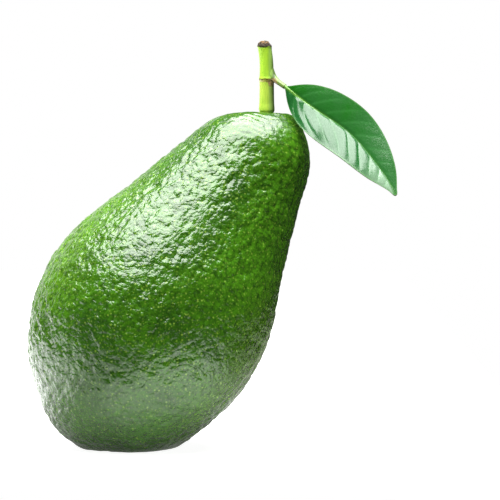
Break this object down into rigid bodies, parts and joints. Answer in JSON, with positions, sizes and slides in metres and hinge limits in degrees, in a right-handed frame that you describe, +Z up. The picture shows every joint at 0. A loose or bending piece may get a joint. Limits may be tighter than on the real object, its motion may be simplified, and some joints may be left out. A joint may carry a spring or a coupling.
{
  "type": "avocado",
  "caption": "Whole green avocado as picked, leaning on its blossom end, with a cut green stem and one glossy leaf.",
  "frame": {"origin": "middle of the small flat spot that the fruit rests on", "axes": "+Z up; the neck leans towards +X and a little towards +Y, and the leaf hangs towards +X; the picture looks along +Y"},
  "size_m": [0.1129, 0.0733, 0.1247],
  "materials": {
    "fruit_skin": "glossy, finely pebbled green skin",
    "stem_bark": "satin yellow-green young wood, brown where cut",
    "leaf_blade": "waxy dark green leaf with a pale midrib"
  },
  "bodies": {
    "root": {"fruit": "fruit_skin", "stem": "stem_bark", "leaf": "leaf_blade"}
  },
  "joints": []
}
